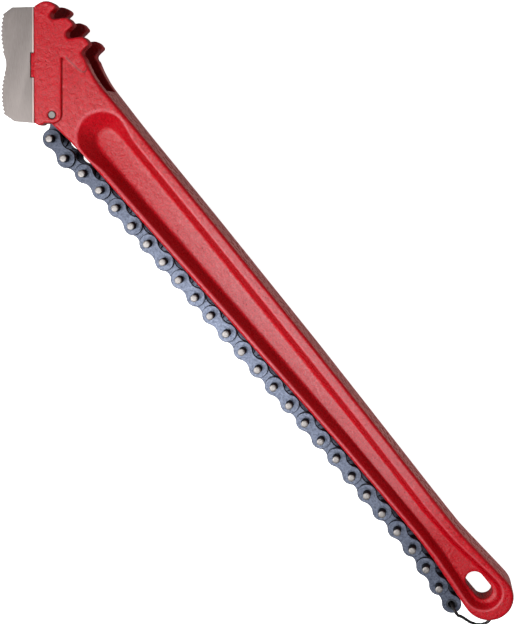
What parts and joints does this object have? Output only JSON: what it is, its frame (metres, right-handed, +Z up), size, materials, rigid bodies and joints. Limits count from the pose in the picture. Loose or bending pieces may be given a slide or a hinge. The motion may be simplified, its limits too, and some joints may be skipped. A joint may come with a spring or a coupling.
{
  "type": "chain wrench",
  "caption": "Chain wrench: long tapered cast handle with a hang hole, serrated steel jaw, and a hinged plate chain whose pins hook into notches on the two-cheek head.",
  "frame": {"origin": "middle of the jaw seat, on the flat face of the lower cheek that the wrench lies on", "axes": "+X along the handle towards its tail, +Y towards the hooks, +Z up from the lower cheek to the upper one"},
  "size_m": [0.6283, 0.0894, 0.045],
  "materials": {
    "red_paint": "gloss paint over a rough casting",
    "jaw_steel": "ground, uncoated",
    "plate_steel": "dark blued, satin",
    "bush_steel": "dark blued, satin",
    "pin_steel": "bare turned ends",
    "tie_cord": "black plastic-covered cord"
  },
  "bodies": {
    "frame": {"handle": "red_paint", "jaw": "jaw_steel", "anchor_pin": "pin_steel", "jaw_dowel": "red_paint"},
    "link_01": {"inner_link_01": "plate_steel", "bushes_01": "bush_steel"},
    "link_02": {"outer_link_01": "plate_steel", "pins_01": "pin_steel"},
    "link_03": {"inner_link_02": "plate_steel", "bushes_02": "bush_steel"},
    "link_04": {"outer_link_02": "plate_steel", "pins_02": "pin_steel"},
    "link_05": {"inner_link_03": "plate_steel", "bushes_03": "bush_steel"},
    "link_06": {"outer_link_03": "plate_steel", "pins_03": "pin_steel"},
    "link_07": {"inner_link_04": "plate_steel", "bushes_04": "bush_steel"},
    "link_08": {"outer_link_04": "plate_steel", "pins_04": "pin_steel"},
    "link_09": {"inner_link_05": "plate_steel", "bushes_05": "bush_steel"},
    "link_10": {"outer_link_05": "plate_steel", "pins_05": "pin_steel"},
    "link_11": {"inner_link_06": "plate_steel", "bushes_06": "bush_steel"},
    "link_12": {"outer_link_06": "plate_steel", "pins_06": "pin_steel"},
    "link_13": {"inner_link_07": "plate_steel", "bushes_07": "bush_steel"},
    "link_14": {"outer_link_07": "plate_steel", "pins_07": "pin_steel"},
    "link_15": {"inner_link_08": "plate_steel", "bushes_08": "bush_steel"},
    "link_16": {"outer_link_08": "plate_steel", "pins_08": "pin_steel"},
    "link_17": {"inner_link_09": "plate_steel", "bushes_09": "bush_steel"},
    "link_18": {"outer_link_09": "plate_steel", "pins_09": "pin_steel"},
    "link_19": {"inner_link_10": "plate_steel", "bushes_10": "bush_steel"},
    "link_20": {"outer_link_10": "plate_steel", "pins_10": "pin_steel"},
    "link_21": {"inner_link_11": "plate_steel", "bushes_11": "bush_steel"},
    "link_22": {"outer_link_11": "plate_steel", "pins_11": "pin_steel"},
    "link_23": {"inner_link_12": "plate_steel", "bushes_12": "bush_steel"},
    "link_24": {"outer_link_12": "plate_steel", "pins_12": "pin_steel"},
    "link_25": {"inner_link_13": "plate_steel", "bushes_13": "bush_steel"},
    "link_26": {"outer_link_13": "plate_steel", "pins_13": "pin_steel"},
    "link_27": {"inner_link_14": "plate_steel", "bushes_14": "bush_steel", "chain_tie": "tie_cord"}
  },
  "joints": [
    {"name": "hinge_01", "type": "hinge", "parent": "frame", "child": "link_01", "pos_m": [0.03794, -0.01443, 0.0225], "axis": [0, 0, -1], "range_deg": [0, 27]},
    {"name": "hinge_02", "type": "hinge", "parent": "link_01", "child": "link_02", "pos_m": [0.04889, -0.03002, 0.0225], "axis": [0, 0, -1], "range_deg": [0, 61.1]},
    {"name": "hinge_03", "type": "hinge", "parent": "link_02", "child": "link_03", "pos_m": [0.06789, -0.03145, 0.0225], "axis": [0, 0, -1], "range_deg": [0, 25.2]},
    {"name": "hinge_04", "type": "hinge", "parent": "link_03", "child": "link_04", "pos_m": [0.08662, -0.02799, 0.0225], "axis": [0, 0, -1], "range_deg": [0, 6.6]},
    {"name": "hinge_05", "type": "hinge", "parent": "link_04", "child": "link_05", "pos_m": [0.10554, -0.0258, 0.0225], "axis": [0, 0, -1], "range_deg": [0, 6.1]},
    {"name": "hinge_06", "type": "hinge", "parent": "link_05", "child": "link_06", "pos_m": [0.12458, -0.02506, 0.0225], "axis": [0, 0, -1], "range_deg": [0, 9.9]},
    {"name": "hinge_07", "type": "hinge", "parent": "link_06", "child": "link_07", "pos_m": [0.14362, -0.02449, 0.0225], "axis": [0, 0, -1], "range_deg": [0, 10.3]},
    {"name": "hinge_08", "type": "hinge", "parent": "link_07", "child": "link_08", "pos_m": [0.16266, -0.02396, 0.0225], "axis": [0, 0, -1], "range_deg": [0, 10.5]},
    {"name": "hinge_09", "type": "hinge", "parent": "link_08", "child": "link_09", "pos_m": [0.18171, -0.02342, 0.0225], "axis": [0, 0, -1], "range_deg": [0, 10.5]},
    {"name": "hinge_10", "type": "hinge", "parent": "link_09", "child": "link_10", "pos_m": [0.20075, -0.02289, 0.0225], "axis": [0, 0, -1], "range_deg": [0, 10.5]},
    {"name": "hinge_11", "type": "hinge", "parent": "link_10", "child": "link_11", "pos_m": [0.21979, -0.02236, 0.0225], "axis": [0, 0, -1], "range_deg": [0, 10.5]},
    {"name": "hinge_12", "type": "hinge", "parent": "link_11", "child": "link_12", "pos_m": [0.23883, -0.02183, 0.0225], "axis": [0, 0, -1], "range_deg": [0, 10.5]},
    {"name": "hinge_13", "type": "hinge", "parent": "link_12", "child": "link_13", "pos_m": [0.25788, -0.02129, 0.0225], "axis": [0, 0, -1], "range_deg": [0, 10.5]},
    {"name": "hinge_14", "type": "hinge", "parent": "link_13", "child": "link_14", "pos_m": [0.27692, -0.02076, 0.0225], "axis": [0, 0, -1], "range_deg": [0, 10.5]},
    {"name": "hinge_15", "type": "hinge", "parent": "link_14", "child": "link_15", "pos_m": [0.29596, -0.02023, 0.0225], "axis": [0, 0, -1], "range_deg": [0, 10.5]},
    {"name": "hinge_16", "type": "hinge", "parent": "link_15", "child": "link_16", "pos_m": [0.315, -0.0197, 0.0225], "axis": [0, 0, -1], "range_deg": [0, 10.5]},
    {"name": "hinge_17", "type": "hinge", "parent": "link_16", "child": "link_17", "pos_m": [0.33405, -0.01916, 0.0225], "axis": [0, 0, -1], "range_deg": [0, 10.5]},
    {"name": "hinge_18", "type": "hinge", "parent": "link_17", "child": "link_18", "pos_m": [0.35309, -0.01863, 0.0225], "axis": [0, 0, -1], "range_deg": [0, 10.5]},
    {"name": "hinge_19", "type": "hinge", "parent": "link_18", "child": "link_19", "pos_m": [0.37213, -0.0181, 0.0225], "axis": [0, 0, -1], "range_deg": [0, 10.4]},
    {"name": "hinge_20", "type": "hinge", "parent": "link_19", "child": "link_20", "pos_m": [0.39117, -0.0176, 0.0225], "axis": [0, 0, -1], "range_deg": [0, 9.1]},
    {"name": "hinge_21", "type": "hinge", "parent": "link_20", "child": "link_21", "pos_m": [0.41022, -0.01754, 0.0225], "axis": [0, 0, -1], "range_deg": [0, 10.5]},
    {"name": "hinge_22", "type": "hinge", "parent": "link_21", "child": "link_22", "pos_m": [0.42927, -0.01747, 0.0225], "axis": [0, 0, -1], "range_deg": [0, 10.5]},
    {"name": "hinge_23", "type": "hinge", "parent": "link_22", "child": "link_23", "pos_m": [0.44832, -0.01741, 0.0225], "axis": [0, 0, -1], "range_deg": [0, 10.5]},
    {"name": "hinge_24", "type": "hinge", "parent": "link_23", "child": "link_24", "pos_m": [0.46737, -0.01735, 0.0225], "axis": [0, 0, -1], "range_deg": [0, 10]},
    {"name": "hinge_25", "type": "hinge", "parent": "link_24", "child": "link_25", "pos_m": [0.48642, -0.01745, 0.0225], "axis": [0, 0, -1], "range_deg": [0, 6.8]},
    {"name": "hinge_26", "type": "hinge", "parent": "link_25", "child": "link_26", "pos_m": [0.50543, -0.01876, 0.0225], "axis": [0, 0, -1], "range_deg": [0, 8.3]},
    {"name": "hinge_27", "type": "hinge", "parent": "link_26", "child": "link_27", "pos_m": [0.52437, -0.02078, 0.0225], "axis": [0, 0, -1], "range_deg": [0, 10.5]}
  ]
}
